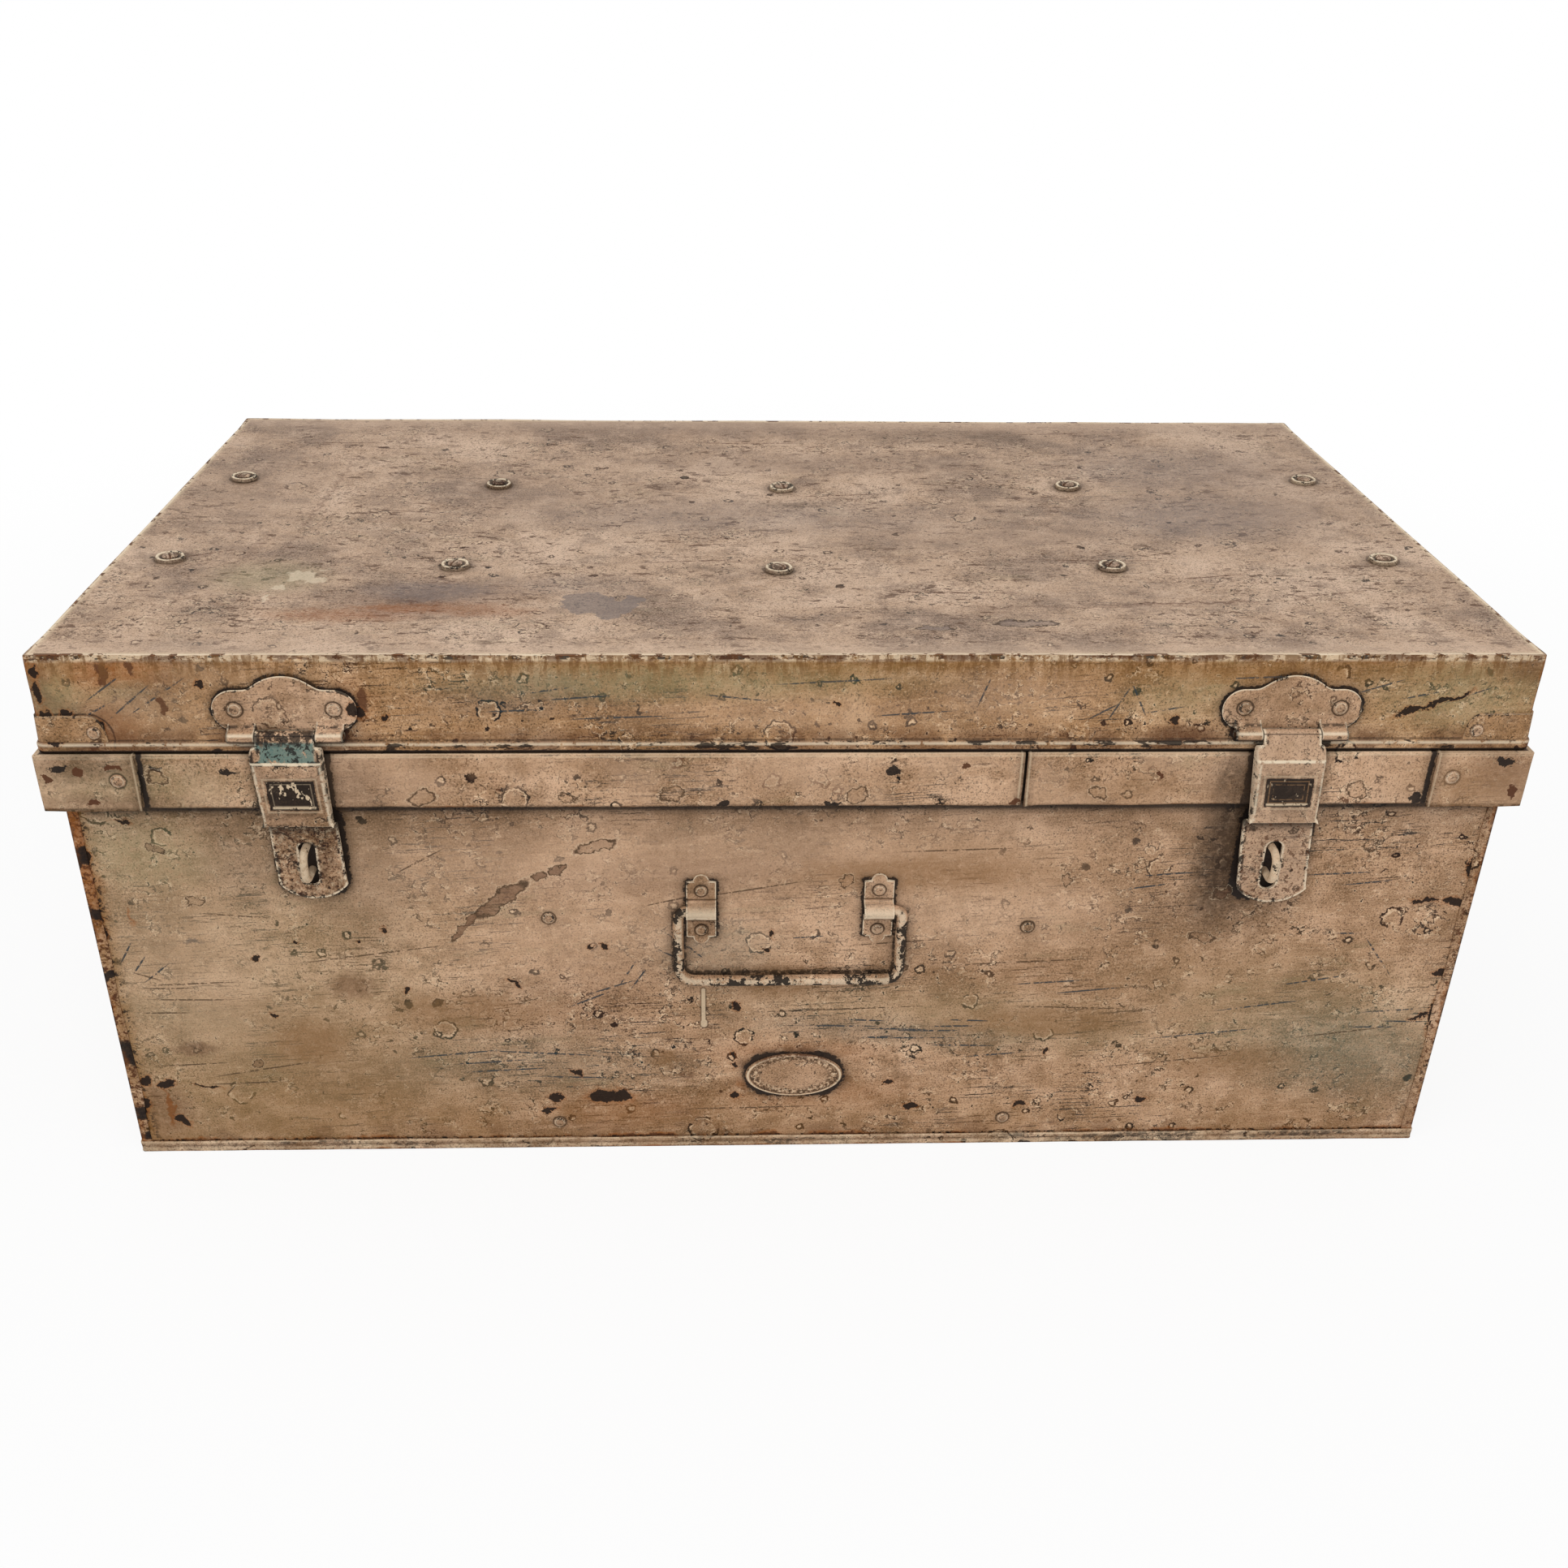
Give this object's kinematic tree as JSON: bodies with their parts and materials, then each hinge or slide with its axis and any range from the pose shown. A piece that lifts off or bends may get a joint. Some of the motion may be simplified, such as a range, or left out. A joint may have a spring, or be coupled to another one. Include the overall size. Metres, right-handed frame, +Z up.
{
  "type": "deed box",
  "caption": "Painted sheet-steel deed box with a hinged flared lid, a hollow rim band, swinging hasps over staples and a bail handle on the front.",
  "frame": {"origin": "centre of the underside, at floor height", "axes": "+X along the front to the right as seen from the front, +Y from front to back, +Z up"},
  "size_m": [0.7754, 0.4366, 0.3251],
  "materials": {
    "body_paint": "aged satin tan paint, chipped and rust-stained",
    "lid_paint": "aged satin grey-beige paint",
    "band_paint": "aged satin tan paint",
    "fitting_paint": "worn paint over dark steel",
    "inner_paint": "dull paint, out of the light",
    "bare_steel": "worn, darkened steel",
    "batten_wood": "plain sawn softwood"
  },
  "bodies": {
    "trunk": {"base_panel": "body_paint", "front_panel": "body_paint", "back_panel": "body_paint", "left_end_panel": "body_paint", "right_end_panel": "body_paint", "band_front_left": "band_paint", "band_front_right": "band_paint", "band_back": "band_paint", "band_left": "band_paint", "band_right": "band_paint", "band_corner_front_left": "band_paint", "band_corner_front_right": "band_paint", "band_corner_back_left": "band_paint", "band_corner_back_right": "band_paint", "band_corner_rivets": "band_paint", "handle_bracket_left": "fitting_paint", "handle_bracket_right": "fitting_paint", "handle_rivets": "fitting_paint", "handle_backing_strap": "inner_paint", "backing_strap_rivets": "body_paint", "floor_strap_left": "inner_paint", "floor_strap_right": "inner_paint", "floor_strap_rivets": "body_paint", "staple_left": "bare_steel", "staple_right": "bare_steel", "staple_backing_plate_left": "inner_paint", "staple_backing_plate_right": "inner_paint", "badge_plate": "body_paint", "badge_pins": "body_paint", "hinge_body_leaf_left": "fitting_paint", "hinge_body_leaf_right": "fitting_paint", "hinge_pin_left": "bare_steel", "hinge_pin_right": "bare_steel", "hinge_body_rivets": "fitting_paint"},
    "lid": {"lid_pan": "lid_paint", "lid_batten_front": "batten_wood", "lid_batten_back": "batten_wood", "cup_washers": "lid_paint", "batten_screws": "lid_paint", "lid_corner_plate_front_left": "lid_paint", "lid_corner_plate_front_right": "lid_paint", "lid_corner_plate_back_left": "lid_paint", "lid_corner_plate_back_right": "lid_paint", "lid_corner_rivets": "lid_paint", "hasp_hinge_plate_left": "fitting_paint", "hasp_hinge_plate_right": "fitting_paint", "hasp_plate_rivets": "fitting_paint", "hasp_pin_left": "bare_steel", "hasp_pin_right": "bare_steel", "hinge_lid_leaf_left": "fitting_paint", "hinge_lid_leaf_right": "fitting_paint", "hinge_lid_rivets": "fitting_paint"},
    "hasp_left": {"hasp_left": "fitting_paint"},
    "hasp_right": {"hasp_right": "fitting_paint"},
    "handle": {"handle_bail": "fitting_paint"}
  },
  "joints": [
    {"name": "lid_hinge", "type": "hinge", "parent": "trunk", "child": "lid", "pos_m": [0, 0.214, 0.2692], "axis": [-1, 0, 0], "range_deg": [0, 100]},
    {"name": "hasp_left_swing", "type": "hinge", "parent": "lid", "child": "hasp_left", "pos_m": [-0.2573, -0.2111, 0.28], "axis": [-1, 0, 0], "range_deg": [0, 150]},
    {"name": "hasp_right_swing", "type": "hinge", "parent": "lid", "child": "hasp_right", "pos_m": [0.2553, -0.2111, 0.28], "axis": [-1, 0, 0], "range_deg": [0, 150]},
    {"name": "handle_swing", "type": "hinge", "parent": "trunk", "child": "handle", "pos_m": [0, -0.20665, 0.1695], "axis": [-1, 0, 0], "range_deg": [0, 175]}
  ]
}
